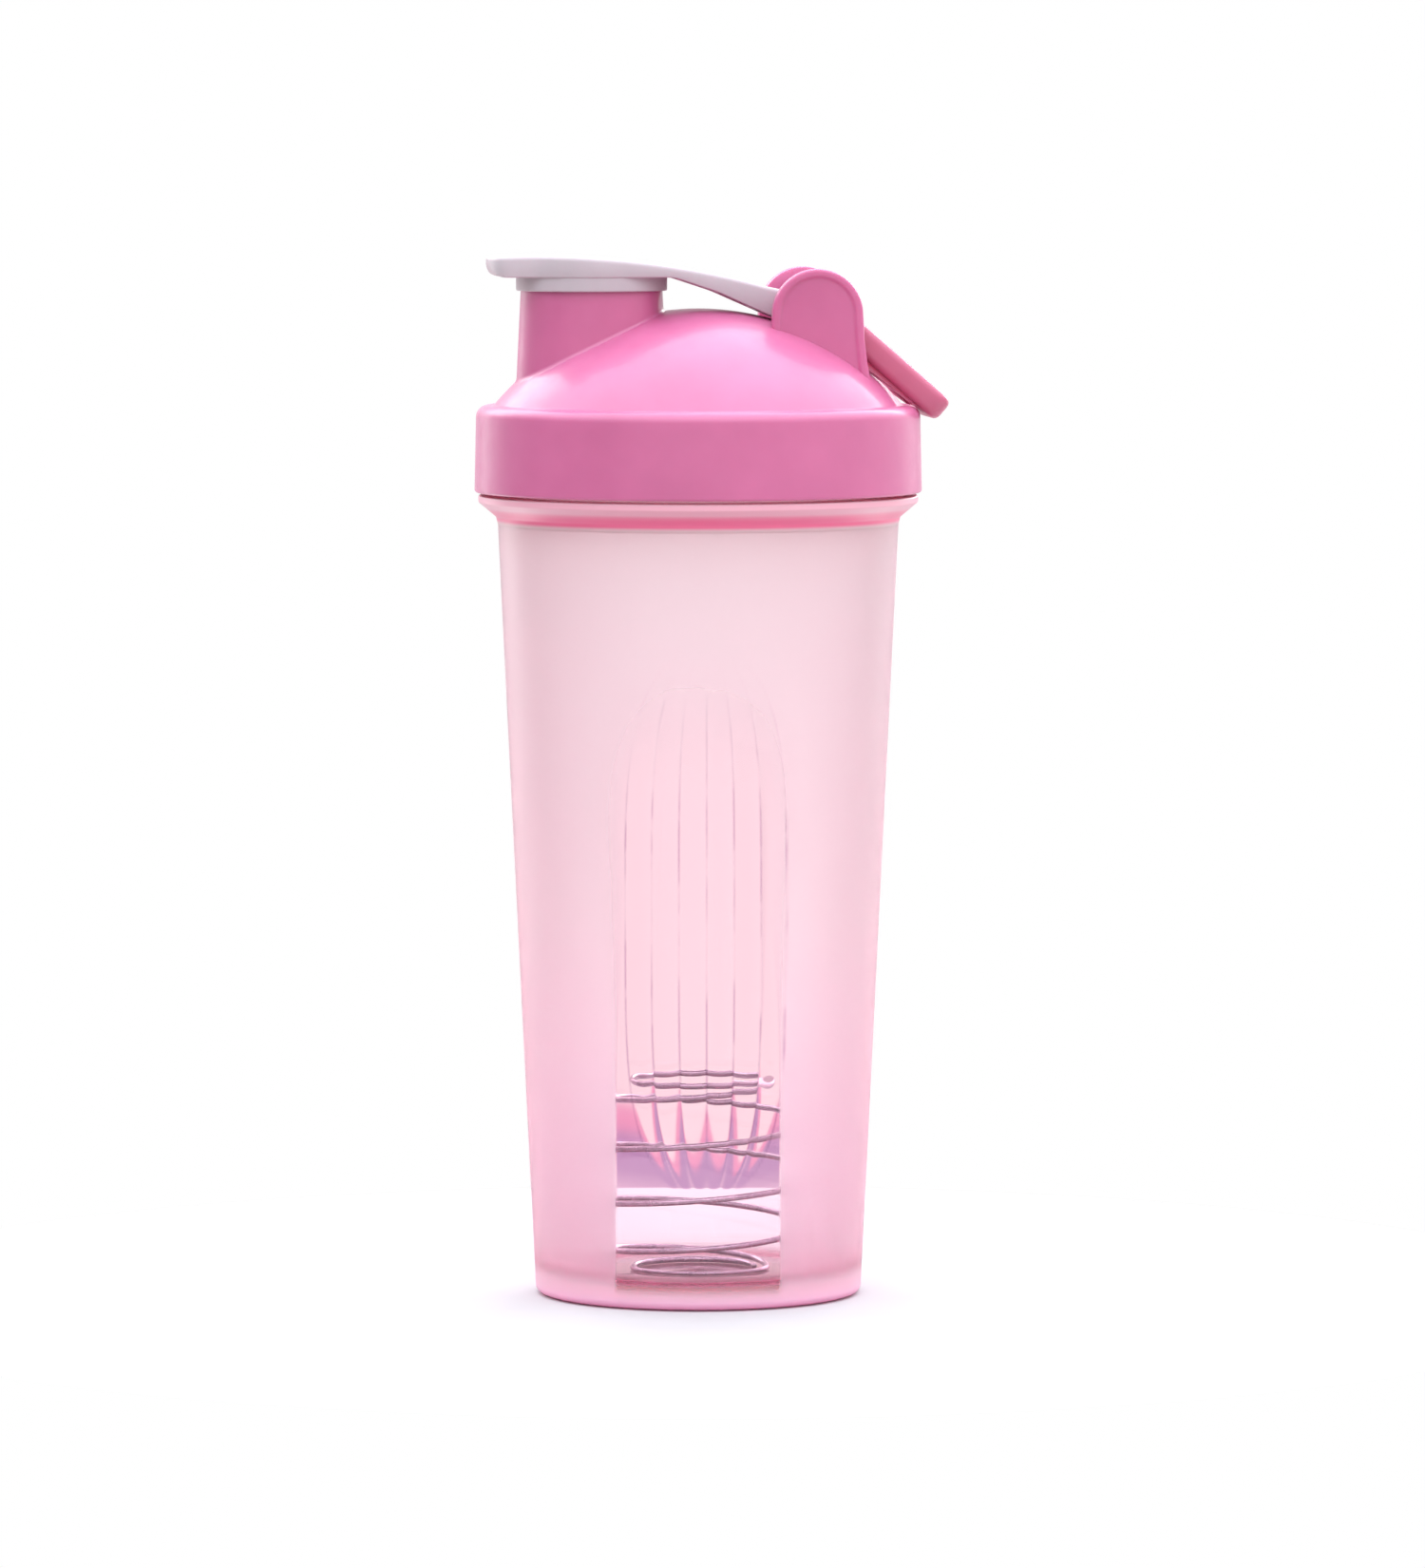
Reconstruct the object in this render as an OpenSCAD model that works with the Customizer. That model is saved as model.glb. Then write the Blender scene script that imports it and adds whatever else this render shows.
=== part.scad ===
/* [Cup] */
// Outer radius of the cup at its base
base_r = 34.2; // [30:0.1:36]
// Outer radius of the cup under the flange
shoulder_r = 42; // [41:0.1:42.2]
// Height of the shoulder, where the taper ends
shoulder_z = 161.6; // [110:0.1:161.6]
// Wall thickness of the cup
cup_wall = 1.9; // [1.4:0.1:2.4]
// Height of the inner floor above the table
floor_z = 4.4; // [3.6:0.1:6]

/* [Lid] */
// Outer radius of the collar at its lower edge
collar_r = 46.9; // [46.5:0.1:49]
// Radius of the dome's sphere
dome_r = 55.5; // [55:0.1:56]
// Height of the dome's crest
dome_top_z = 206.8; // [206.5:0.1:206.9]
// Distance of the spout's axis from the bottle's axis
spout_x = 22.4; // [21:0.1:23]
// Radius of the spout's bore
spout_bore_r = 12.4; // [11:0.1:12.8]
// Lead of the lid's screw thread
thread_lead = 5; // [4.6:0.1:5.4]

/* [Hinge] */
// Distance of the hinge axis from the bottle's axis
hinge_x = 23.6; // [23:0.1:24.2]
// Height of the hinge axis
hinge_z = 205.8; // [205.4:0.1:206.2]
// Radius of the hinge pin
pin_r = 1.5; // [1.2:0.1:1.8]

/* [Loop] */
// Reach of the carry loop from the hinge axis
loop_reach = 34.2; // [32:0.1:36]
// Thickness of the carry loop
loop_thick = 5.3; // [4:0.1:5.4]

/* [Whisk] */
// Radius of the whisk ball to the middle of its wire
ball_r = 24.5; // [22:0.1:26]
// Radius of the whisk's wire
wire_r = 0.65; // [0.6:0.05:0.9]

/* [Hidden] */
$fn = 96;

// Cup heights and radii above the shoulder
flare_r = 42.5;
flare_z = 163.4;
flange_r = 46.1;
flange_low_z = 166.2;
flange_top_z = 167.8;
neck_r = 43.2;
rim_z = 183.3;
taper = (shoulder_r - base_r) / shoulder_z;
foot_round = 1.2;
recess_r = base_r - 4.6;
recess_z = 2.4;
inner_round = 3;

// Collar and dome
collar_low_z = 168.4;
ledge_z = 186.6;
collar_top_r = collar_r - 0.4;
collar_round = 2.4;
collar_in_r = 44.9;
ceiling_z = 184.9;
dome_wall = 2;
dome_z = dome_top_z - dome_r;
skirt_r = 40.6;
skirt_wall = 1.4;
skirt_low_z = 180.6;

// Spout
spout_top_z = 211.6;
spout_top_r = 14.8;
spout_foot_r = 15.9;
spout_foot_z = 188;

// Thread: ridge half heights, turns and clearance between the flanks
ridge_root = 1.2;
ridge_crest = 0.6;
ridge_depth = 1.3;
ridge_sink = 0.4;
flank_gap = 0.35;
cup_thread_z = 172.5;
cup_turns = 1.2;
lid_turns = 1;
turn_steps = 60;
fade_steps = 6;

// Hinge
lug_r = 9.5;
lug_out_y = 15;
lug_wall = 3.2;
lug_rim = 1.7;
lug_inset = 0.5;
lug_foot_z = 184;
lug_foot_flare = 2.7;
lug_waist_z = 191;
lug_waist_flare = 1.6;
lug_neck_z = 197;
lug_neck_flare = 0.4;
socket_end_y = 13.5;
pin_end_y = 13.4;
pin_play = 0.05;
barrel_r = 3.6;
barrel_y = 8;
arm_in_y = 8.4;
arm_out_y = 11.4;

// Flip cap: the lever's top is one long arc
lever_arc_r = 182;
lever_top_z = 218;
lever_top_x = -34.5;
lever_wall = 1.9;
cap_skirt_r = 15.8;
cap_skirt_low_z = 210.6;
cap_skirt_in_r = 15.2;
cap_plate_low_z = 213.5;
tab_tip_x = -44.4;
tab_round = 3.2;
tab_y = 11;
tab_side_x = 4;
tab_corner = 5;
disc_r = cap_skirt_r + 0.3;
throat_x = 2;
throat_y = 11.2;
nape_x = 13.6;
nape_low_z = 205.8;
boss_r = 4;
boss_low_z = 209.6;

// Spout seal
seal_flange_r = 14.2;
seal_flange_low_z = spout_top_z + 0.05;
seal_flange_top_z = 213;
seal_r = spout_bore_r - 0.6;
seal_low_z = 207.4;
seal_wall = 1.6;
seal_floor = 1.4;

// Carry loop: slope at rest and offset of its middle line above the hinge
loop_angle = 41.1;
loop_lift = 2.37;
loop_bar = 5;
loop_corner = 3.2;
loop_edge = 1.2;
arm_root_x = 5;
arm_root_half = 3.2;

// Whisk: latitude of the end rings and the number of turns between them
ring_lat = 54;
ball_turns = 4;
ring_steps = 28;
wire_sides = 6;
ring_tuck = 2.6;
ball_z = floor_z + wire_r + ball_r * sin(ring_lat) + 0.05;

// A ring of points joined to the next along a path, as one closed tube
module tube(rings) {
    sides = len(rings[0]);
    last = len(rings) - 1;
    sleeve = [for (i = [0:last - 1], j = [0:sides - 1])
        let (k = (j + 1) % sides)
        [i * sides + j, i * sides + k, (i + 1) * sides + k, (i + 1) * sides + j]];
    start_cap = [for (j = [sides - 1:-1:0]) j];
    end_cap = [for (j = [0:sides - 1]) last * sides + j];
    polyhedron(points = [for (ring = rings) each ring], faces = concat(sleeve, [start_cap, end_cap]),
        convexity = 10);
}

function at_angle(a, r, z) = [r * cos(a), r * sin(a), z];

// Height of a thread ridge along its length: it fades out at both ends
function fade(i, steps) = min(1, (i + 0.5) / fade_steps, (steps - i + 0.5) / fade_steps);

// Screw ridge on a wall of radius wall_r; depth is positive outwards and negative inwards
module screw_ridge(wall_r, depth, low_z, turns) {
    steps = round(turns * turn_steps);
    sink = depth > 0 ? -ridge_sink : ridge_sink;
    tube([for (i = [0:steps])
        let (a = i * 360 / turn_steps, z = low_z + thread_lead * i / turn_steps, h = fade(i, steps))
        let (root = ridge_root * (0.5 + 0.5 * h), crest = ridge_crest * (0.5 + 0.5 * h))
        let (low = at_angle(a, wall_r + sink, z - root), high = at_angle(a, wall_r + sink, z + root))
        let (crest_r = wall_r + depth * h)
        let (crest_low = at_angle(a, crest_r, z - crest), crest_high = at_angle(a, crest_r, z + crest))
        depth > 0 ? [low, crest_low, crest_high, high] : [high, crest_high, crest_low, low]]);
}

// Half section of the cup's wall, floor and flange
module cup_section() {
    difference() {
        union() {
            translate([base_r - foot_round, foot_round]) circle(foot_round);
            square([base_r - foot_round, floor_z]);
            polygon([[0, foot_round], [base_r, foot_round], [shoulder_r, shoulder_z],
                [flare_r, flare_z], [flange_r - 0.4, flange_low_z],
                [flange_r, flange_low_z + 0.4], [flange_r, flange_top_z - 0.3], [flange_r - 0.3, flange_top_z],
                [neck_r, flange_top_z], [neck_r, rim_z - 0.6], [neck_r - 0.6, rim_z], [0, rim_z]]);
        }
        cup_hollow();
        polygon([[0, -1], [recess_r + 0.5, -1], [recess_r - recess_z / 2, recess_z], [0, recess_z]]);
    }
}

// Half section of the space inside the cup
module cup_hollow() {
    floor_r = base_r - cup_wall + taper * floor_z;
    top_r = base_r - cup_wall + taper * (rim_z + 1);
    round_r = floor_r - inner_round;
    polygon([[0, floor_z], [round_r, floor_z], [floor_r + taper * inner_round, floor_z + inner_round],
        [top_r, rim_z + 1], [0, rim_z + 1]]);
    intersection() {
        translate([round_r + taper * inner_round, floor_z + inner_round]) circle(inner_round);
        translate([0, floor_z]) square([base_r, inner_round]);
    }
}

module bottle_cup() {
    color([0.97, 0.7, 0.8]) {
        rotate_extrude() cup_section();
        screw_ridge(neck_r, ridge_depth, cup_thread_z, cup_turns);
    }
}

// Half section of the collar with its rounded top edge
module collar_section() {
    round_r = collar_top_r - collar_round;
    polygon([[0, collar_low_z], [collar_r - 0.5, collar_low_z], [collar_r, collar_low_z + 0.5],
        [collar_top_r, ledge_z - collar_round], [round_r, ledge_z], [0, ledge_z]]);
    translate([round_r, ledge_z - collar_round]) circle(collar_round);
}

// Half section of the space inside the lid, up to the gasket's ceiling, with the sealing skirt left in
module lid_hollow() {
    difference() {
        translate([0, collar_low_z - 1]) square([collar_in_r, ceiling_z - collar_low_z + 1]);
        translate([skirt_r - skirt_wall, skirt_low_z]) square([skirt_wall, ceiling_z]);
    }
    intersection() {
        translate([0, dome_z]) circle(dome_r - dome_wall);
        translate([0, ceiling_z - 1]) square([skirt_r - skirt_wall, dome_r]);
    }
}

module spout_body() {
    translate([-spout_x, 0, spout_foot_z]) rotate([0, 0, 90])
        cylinder(h = spout_top_z - spout_foot_z, r1 = spout_foot_r, r2 = spout_top_r);
}

// Side outline of a hinge lug
module lug_outline(inset) {
    translate([hinge_x, hinge_z]) circle(lug_r - inset);
    left_x = hinge_x - lug_r + inset;
    right_x = hinge_x + lug_r - inset;
    polygon([[left_x, hinge_z], [left_x - lug_neck_flare, lug_waist_z],
        [right_x + lug_foot_flare, lug_foot_z], [right_x + lug_waist_flare, lug_waist_z],
        [right_x + lug_neck_flare, lug_neck_z], [right_x, hinge_z]]);
}

// Lug on the +Y side, with a raised rim round its outer face and a blind socket for the pin
module lug() {
    difference() {
        translate([0, lug_out_y, 0]) rotate([90, 0, 0]) linear_extrude(lug_wall) lug_outline(0);
        translate([0, lug_out_y + 1, 0]) rotate([90, 0, 0])
            linear_extrude(lug_inset + 1) lug_outline(lug_rim);
    }
}

module pin_sockets() {
    translate([hinge_x, 0, hinge_z]) rotate([90, 0, 0])
        cylinder(h = 2 * socket_end_y, r = pin_r + 0.02, center = true);
}

// Half section of the lid's shell: collar, ledge, dome and sealing skirt
module shell_section() {
    difference() {
        union() {
            collar_section();
            intersection() {
                translate([0, dome_z]) circle(dome_r);
                translate([0, ledge_z - 1]) square([collar_r, dome_r]);
            }
        }
        lid_hollow();
    }
}

// Space under the middle of the dome's wall, where the spout and the lugs end
module under_dome() {
    translate([0, 0, dome_z]) sphere(dome_r - dome_wall / 2);
}

module screw_lid() {
    color([0.86, 0.5, 0.66]) {
        difference() {
            union() {
                rotate_extrude() shell_section();
                difference() {
                    spout_body();
                    under_dome();
                }
                difference() {
                    lug();
                    under_dome();
                }
                difference() {
                    mirror([0, 1, 0]) lug();
                    under_dome();
                }
            }
            translate([-spout_x, 0, spout_foot_z - 4]) cylinder(h = 40, r = spout_bore_r);
            pin_sockets();
        }
        screw_ridge(collar_in_r, -ridge_depth, cup_thread_z - ridge_root - ridge_crest - flank_gap, lid_turns);
    }
}

module lid_gasket() {
    color([0.95, 0.93, 0.94]) difference() {
        translate([0, 0, rim_z]) cylinder(h = ceiling_z - rim_z, r = collar_in_r - 0.3);
        translate([0, 0, rim_z - 1]) cylinder(h = 4, r = skirt_r + 0.3);
    }
}

// Circle whose top is the lever's long arc
module lever_arc() {
    translate([lever_top_x, lever_top_z - lever_arc_r]) circle(r = lever_arc_r, $fn = 400);
}

// Side outline of the lever: a flat plate whose lower edge then slopes down to the nape by the hinge
module lever_side() {
    intersection() {
        lever_arc();
        union() {
            polygon([[tab_tip_x, cap_plate_low_z + tab_round], [tab_tip_x, lever_top_z + 2],
                [nape_x, lever_top_z + 2], [nape_x, nape_low_z], [nape_x - 3, nape_low_z + 1.1],
                [nape_x - 9.8, nape_low_z + 4.3], [nape_x - 16.5, cap_plate_low_z - 0.9],
                [nape_x - 22.8, cap_plate_low_z], [tab_tip_x + tab_round, cap_plate_low_z]]);
            translate([tab_tip_x + tab_round, cap_plate_low_z + tab_round]) circle(tab_round);
        }
    }
}

// Plan of the lever: a disc over the spout, a thumb tab and a neck that narrows to the hinge
module lever_plan(inset) {
    tip_x = tab_tip_x + inset;
    side_x = tab_tip_x + tab_side_x;
    tip_y = tab_y - tab_corner - inset;
    root_y = tab_y + 3 - inset;
    translate([-spout_x, 0]) circle(disc_r - inset);
    polygon([[-spout_x, -root_y], [side_x, inset - tab_y], [tip_x, -tip_y],
        [tip_x, tip_y], [side_x, tab_y - inset], [-spout_x, root_y]]);
    shoulder_x = 6 - spout_x;
    shoulder_y = disc_r - 0.9 - inset;
    neck_x = nape_x + 0.4;
    polygon([[shoulder_x, -shoulder_y], [throat_x, inset - throat_y], [neck_x, inset - barrel_y],
        [neck_x, barrel_y - inset], [throat_x, throat_y - inset], [shoulder_x, shoulder_y]]);
}

// Side outline of the space under the lever's top wall
module lever_hollow_side() {
    translate([0, -lever_wall]) intersection() {
        lever_arc();
        translate([tab_tip_x + lever_wall, 190]) square([nape_x - lever_wall - tab_tip_x, 40]);
    }
}

module flip_cap_shell() {
    difference() {
        intersection() {
            rotate([90, 0, 0]) linear_extrude(60, center = true) lever_side();
            translate([0, 0, 190]) linear_extrude(40) lever_plan(0);
        }
        intersection() {
            rotate([90, 0, 0]) linear_extrude(60, center = true) lever_hollow_side();
            translate([0, 0, 190]) linear_extrude(40) lever_plan(lever_wall);
        }
    }
}

// Side outline of the solid piece that joins the lever to its barrel
module barrel_side() {
    translate([hinge_x, hinge_z]) circle(barrel_r);
    polygon([[nape_x - 1.9, nape_low_z + 6.2], [nape_x, nape_low_z + 5.95],
        [hinge_x + 0.9, hinge_z + barrel_r - 0.1], [hinge_x - 1.2, hinge_z - barrel_r + 0.25],
        [nape_x, nape_low_z], [nape_x - 1.9, nape_low_z + 0.8]]);
}

module flip_cap() {
    color([0.9, 0.86, 0.88]) difference() {
        union() {
            flip_cap_shell();
            translate([-spout_x, 0, cap_skirt_low_z]) difference() {
                cylinder(h = cap_plate_low_z - cap_skirt_low_z + 0.5, r = cap_skirt_r);
                translate([0, 0, -1]) cylinder(h = 20, r = cap_skirt_in_r);
            }
            translate([-spout_x, 0, boss_low_z]) cylinder(h = lever_top_z - boss_low_z - 2.2, r = boss_r);
            rotate([90, 0, 0]) linear_extrude(2 * barrel_y, center = true) barrel_side();
        }
        translate([hinge_x, 0, hinge_z]) rotate([90, 0, 0])
            cylinder(h = 60, r = pin_r + pin_play, center = true);
    }
}

module spout_seal() {
    color([0.93, 0.9, 0.92]) translate([-spout_x, 0, 0]) rotate_extrude() difference() {
        union() {
            translate([0, seal_low_z]) square([seal_r, seal_flange_top_z - seal_low_z]);
            translate([0, seal_flange_low_z]) square([seal_flange_r, seal_flange_top_z - seal_flange_low_z]);
        }
        translate([boss_r + seal_wall, seal_low_z + seal_floor])
            square([seal_r - boss_r - 2 * seal_wall, 10]);
        translate([0, boss_low_z]) square([boss_r, 10]);
    }
}

module hinge_pin() {
    color([0.75, 0.76, 0.78]) translate([hinge_x, 0, hinge_z]) rotate([90, 0, 0])
        cylinder(h = 2 * pin_end_y, r = pin_r, center = true);
}

// Side outline of the loop's arms, along +X with the hinge at the origin
module arm_side() {
    top = loop_lift + loop_thick / 2;
    low = loop_lift - loop_thick / 2;
    edge_x = loop_reach - loop_edge;
    polygon([[0, arm_root_half], [arm_root_x, top], [edge_x, top], [loop_reach, top - loop_edge],
        [loop_reach, low + loop_edge], [edge_x, low], [arm_root_x, low], [0, -arm_root_half]]);
}

// Plan of the loop: two arms and a cross bar with round corners
module loop_plan() {
    difference() {
        union() {
            translate([-barrel_r - 1, -arm_out_y])
                square([loop_reach + barrel_r + 1 - loop_corner, 2 * arm_out_y]);
            translate([0, loop_corner - arm_out_y])
                square([loop_reach, 2 * (arm_out_y - loop_corner)]);
            for (side = [-1, 1])
                translate([loop_reach - loop_corner, side * (arm_out_y - loop_corner)]) circle(loop_corner);
        }
        translate([-barrel_r - 2, -arm_in_y])
            square([loop_reach + barrel_r + 2 - loop_bar, 2 * arm_in_y]);
    }
}

module carry_loop() {
    color([0.88, 0.45, 0.6]) translate([hinge_x, 0, hinge_z]) rotate([0, loop_angle, 0]) difference() {
        union() {
            intersection() {
                rotate([90, 0, 0]) linear_extrude(40, center = true) arm_side();
                translate([0, 0, -10]) linear_extrude(24) loop_plan();
            }
            for (side = [-1, 1])
                translate([0, side * (arm_in_y + arm_out_y) / 2, 0]) rotate([90, 0, 0])
                    cylinder(h = arm_out_y - arm_in_y, r = barrel_r, center = true);
        }
        rotate([90, 0, 0]) cylinder(h = 60, r = pin_r + pin_play, center = true);
    }
}

// Latitude along the coil: flat end rings and an even climb between them
function coil_lat(turn) = min(ring_lat, max(-ring_lat, -ring_lat + 2 * ring_lat * (turn - 1) / ball_turns));

// The end rings tuck in towards the wire's two free ends
function coil_tuck(turn) = ring_tuck * pow(max(0, 1 - turn, turn - 1 - ball_turns), 2);

function coil_point(turn) =
    let (lat = coil_lat(turn), r = ball_r * cos(lat) - coil_tuck(turn))
    at_angle(360 * turn, r, ball_z + ball_r * sin(lat));

// Ring of the wire's section about one point of the coil
function wire_ring(turn) =
    let (step = 0.01, p = coil_point(turn), q = coil_point(turn + step))
    let (along = (q - p) / norm(q - p), out = at_angle(360 * turn, 1, 0))
    let (side = cross(along, out), u = side / norm(side), v = cross(u, along))
    [for (j = [0:wire_sides - 1])
        p + wire_r * (u * cos(360 * j / wire_sides) + v * sin(360 * j / wire_sides))];

module whisk_ball() {
    steps = ring_steps * (ball_turns + 2);
    color([0.71, 0.6, 0.66]) tube([for (i = [0:steps]) wire_ring(i / ring_steps)]);
}

bottle_cup();
screw_lid();
lid_gasket();
flip_cap();
spout_seal();
hinge_pin();
carry_loop();
whisk_ball();
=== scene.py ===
import math

import bmesh
import bpy
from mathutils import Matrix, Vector
from mathutils.geometry import tessellate_polygon


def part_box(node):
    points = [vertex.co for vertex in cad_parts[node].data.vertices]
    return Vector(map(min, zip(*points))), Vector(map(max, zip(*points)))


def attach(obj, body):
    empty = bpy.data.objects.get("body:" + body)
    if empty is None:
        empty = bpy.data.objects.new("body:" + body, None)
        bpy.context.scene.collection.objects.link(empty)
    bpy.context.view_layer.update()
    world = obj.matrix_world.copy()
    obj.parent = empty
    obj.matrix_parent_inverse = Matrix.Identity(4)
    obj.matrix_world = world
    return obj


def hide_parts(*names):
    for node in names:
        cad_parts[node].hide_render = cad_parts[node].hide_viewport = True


MM = 0.001
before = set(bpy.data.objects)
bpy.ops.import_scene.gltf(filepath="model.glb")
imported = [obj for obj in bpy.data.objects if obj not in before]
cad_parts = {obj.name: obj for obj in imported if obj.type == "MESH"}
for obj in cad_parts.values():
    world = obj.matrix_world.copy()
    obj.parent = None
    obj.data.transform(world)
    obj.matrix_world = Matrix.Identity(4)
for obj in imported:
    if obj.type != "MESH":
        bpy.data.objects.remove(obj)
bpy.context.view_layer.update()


# ---------------------------------------------------------------- sizes, in millimetres

def box_mm(node):
    """A node's lowest and highest corners, in millimetres."""
    low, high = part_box(node)
    return [v / MM for v in low], [v / MM for v in high]


CUP_HIGH = box_mm("bottle_cup")[1]
LID_LOW = box_mm("screw_lid")[0]
CAP_LOW, CAP_HIGH = box_mm("flip_cap")
PIN_LOW, PIN_HIGH = box_mm("hinge_pin")

# Cup
BASE_R = 34.2
SHOULDER_R = 42.0
SHOULDER_Z = 161.6
CUP_WALL = 1.9
FLOOR_Z = 4.4
RECESS_Z = 2.4
FLANGE_R = 46.1
FLANGE_TOP_Z = 167.8
NECK_R = 43.2
RIM_Z = CUP_HIGH[2]
TAPER = (SHOULDER_R - BASE_R) / SHOULDER_Z

# Radiance of the surroundings: overhead, at the sides, behind the bottle, in a ring round the far wall,
# in front of the bottle and below it
TOP_LIGHT = 3.3
LEFT_LIGHT = 0.35
RIGHT_LIGHT = 0.95
BACK_LIGHT = 3.2
TOP_COLOUR = (0.86, 0.95, 1.0)
RING = (0.94, 0.74, 0.83)
FRONT_LIGHT = 0.82
FLOOR_LIGHT = 1.3

# Two soft boxes high behind the bottle, which light the dome's two feet
BOX_LEFT = (-0.46, 0.75, 0.47)
BOX_LEFT_LIGHT = 4.4
BOX_RIGHT = (0.46, 0.83, 0.31)
BOX_RIGHT_LIGHT = 6.0

# The far wall, in a small region of the surroundings straight behind the bottle, with a lilac band along it
# that shows through the clear window: the wall, the band and the band's two edges
WALL = (1.10, 1.02, 1.04)
BAND = (0.56, 0.36, 0.64)
BAND_TOP = (0.98, 0.44, 0.68)
BAND_FOOT = (0.80, 0.60, 0.80)
WALL_DIRECTION = (0.1045, 0.9945, -0.08)

# Floor: its radius, and how far it lies under the foot
FLOOR_BOARD_R = 190.0
FLOOR_BOARD_GAP = 0.3

# Clear window in the cup's front and the flutes inside it
WINDOW_TURN = math.radians(-96)
WINDOW_HALF = 17.9
WINDOW_TOP_Z = 141.0
WINDOW_ARCH = 34.0
FLUTE_PITCH = 5.75
FLUTE_SHIFT = 1.8
FLUTE_LOW_Z = 23.0
FLUTE_HIGH_Z = 138.0
FLUTE_DEPTH = 0.3
# How far the painted shade line reaches from each flute cusp
FLUTE_SHADE_LINE = 0.42

# Lid
COLLAR_R = 46.9
COLLAR_TOP_R = 46.5
COLLAR_LOW_Z = LID_LOW[2]
LEDGE_Z = 186.6
COLLAR_ROUND = 2.4
COLLAR_IN_R = 44.9
CEILING_Z = 184.9
DOME_R = 55.5
DOME_TOP_Z = 206.8
DOME_WALL = 2.0
DOME_Z = DOME_TOP_Z - DOME_R
SPOUT_X = -22.4
SPOUT_TOP_Z = 211.6
SPOUT_TOP_R = 14.8
SPOUT_DRAFT = 0.0487
SPOUT_BORE_R = 12.4
SPOUT_FILLET = 0.8
SKIRT_R = 40.6
SKIRT_IN_R = 39.2
SKIRT_LOW_Z = 180.6
THREAD_LEAD = 5
THREAD_DEPTH = 1.3
LID_THREAD_Z = 170.35

# Hinge
HINGE_X = (PIN_LOW[0] + PIN_HIGH[0]) / 2
HINGE_Z = (PIN_LOW[2] + PIN_HIGH[2]) / 2
LUG_R = 9.5
LUG_OUT_Y = 15.0
LUG_WALL = 3.2
BARREL_R = 3.6
BARREL_Y = 8.0
PIN_BORE_R = 1.55

# Flip cap
LEVER_ARC_R = 182.0
LEVER_TOP_X = -34.5
LEVER_TOP_Z = CAP_HIGH[2]
TAB_TIP_X = CAP_LOW[0]
CAP_SKIRT_R = 15.8
CAP_PLATE_LOW_Z = 213.5
CAP_LOW_SKIRT_Z = 210.6
NAPE_X = 13.6
NAPE_LOW_Z = 205.8
TAB_X = -39.4
TAB_HALF = 10.6
TAB_CURVE = 2.6
NECK_FLARE = 7.6
BOSS_R = 4.0
BOSS_Z = 212.9
BOSS_HIGH = 6.6

# Carry loop
LOOP_ANGLE = math.radians(41.1)
LOOP_LIFT = 2.37
LOOP_THICK = 5.3
LOOP_REACH = 33.9
LOOP_BAR = 5.0
ARM_IN_Y = 8.4
ARM_OUT_Y = 11.4

# Whisk ball
BALL_R = 24.5
WIRE_R = 0.65
RING_LAT = math.radians(54)
BALL_TURNS = 4
RING_TUCK = 2.6
BALL_Z = FLOOR_Z + WIRE_R + BALL_R * math.sin(RING_LAT) + 0.05


# ---------------------------------------------------------------- mesh tools

def new_piece(name, verts, faces, body, sharp=38):
    """Makes a closed mesh from points in millimetres and lets it ride on a body."""
    mesh = bpy.data.meshes.new(name)
    mesh.from_pydata([(x * MM, y * MM, z * MM) for x, y, z in verts], [], faces)
    work = bmesh.new()
    work.from_mesh(mesh)
    bmesh.ops.remove_doubles(work, verts=work.verts, dist=1e-7)
    bmesh.ops.recalc_face_normals(work, faces=work.faces)
    work.to_mesh(mesh)
    work.free()
    piece = bpy.data.objects.new(name, mesh)
    bpy.context.scene.collection.objects.link(piece)
    smooth(piece, sharp)
    if body:
        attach(piece, body)
    return piece


def smooth(piece, sharp=38):
    """Smooth shading, with edges sharper than the angle kept crisp."""
    piece.data.shade_smooth()
    piece.data.set_sharp_from_angle(angle=math.radians(sharp))


def fillet(corners, segments=8):
    """Points of an open outline whose corners (x, y, radius) are rounded by arcs."""
    points = []
    count = len(corners)
    for i, (x, y, radius) in enumerate(corners):
        here = Vector((x, y))
        if radius <= 0 or i in (0, count - 1):
            points.append((x, y))
            continue
        before = (Vector(corners[i - 1][:2]) - here).normalized()
        after = (Vector(corners[(i + 1) % count][:2]) - here).normalized()
        half = before.angle(after) / 2
        centre = here + (before + after).normalized() * (radius / math.sin(half))
        start = here + before * (radius / math.tan(half)) - centre
        end = here + after * (radius / math.tan(half)) - centre
        sweep = start.angle_signed(end)
        for k in range(segments + 1):
            a = -sweep * k / segments
            points.append((centre.x + start.x * math.cos(a) - start.y * math.sin(a),
                           centre.y + start.x * math.sin(a) + start.y * math.cos(a)))
    return points


def finer(points, longest):
    """The same open outline, with long straight stretches cut up."""
    out = [points[0]]
    for a, b in zip(points, points[1:]):
        n = max(1, math.ceil(math.dist(a, b) / longest))
        out += [(a[0] + (b[0] - a[0]) * k / n, a[1] + (b[1] - a[1]) * k / n) for k in range(1, n + 1)]
    return out


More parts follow.
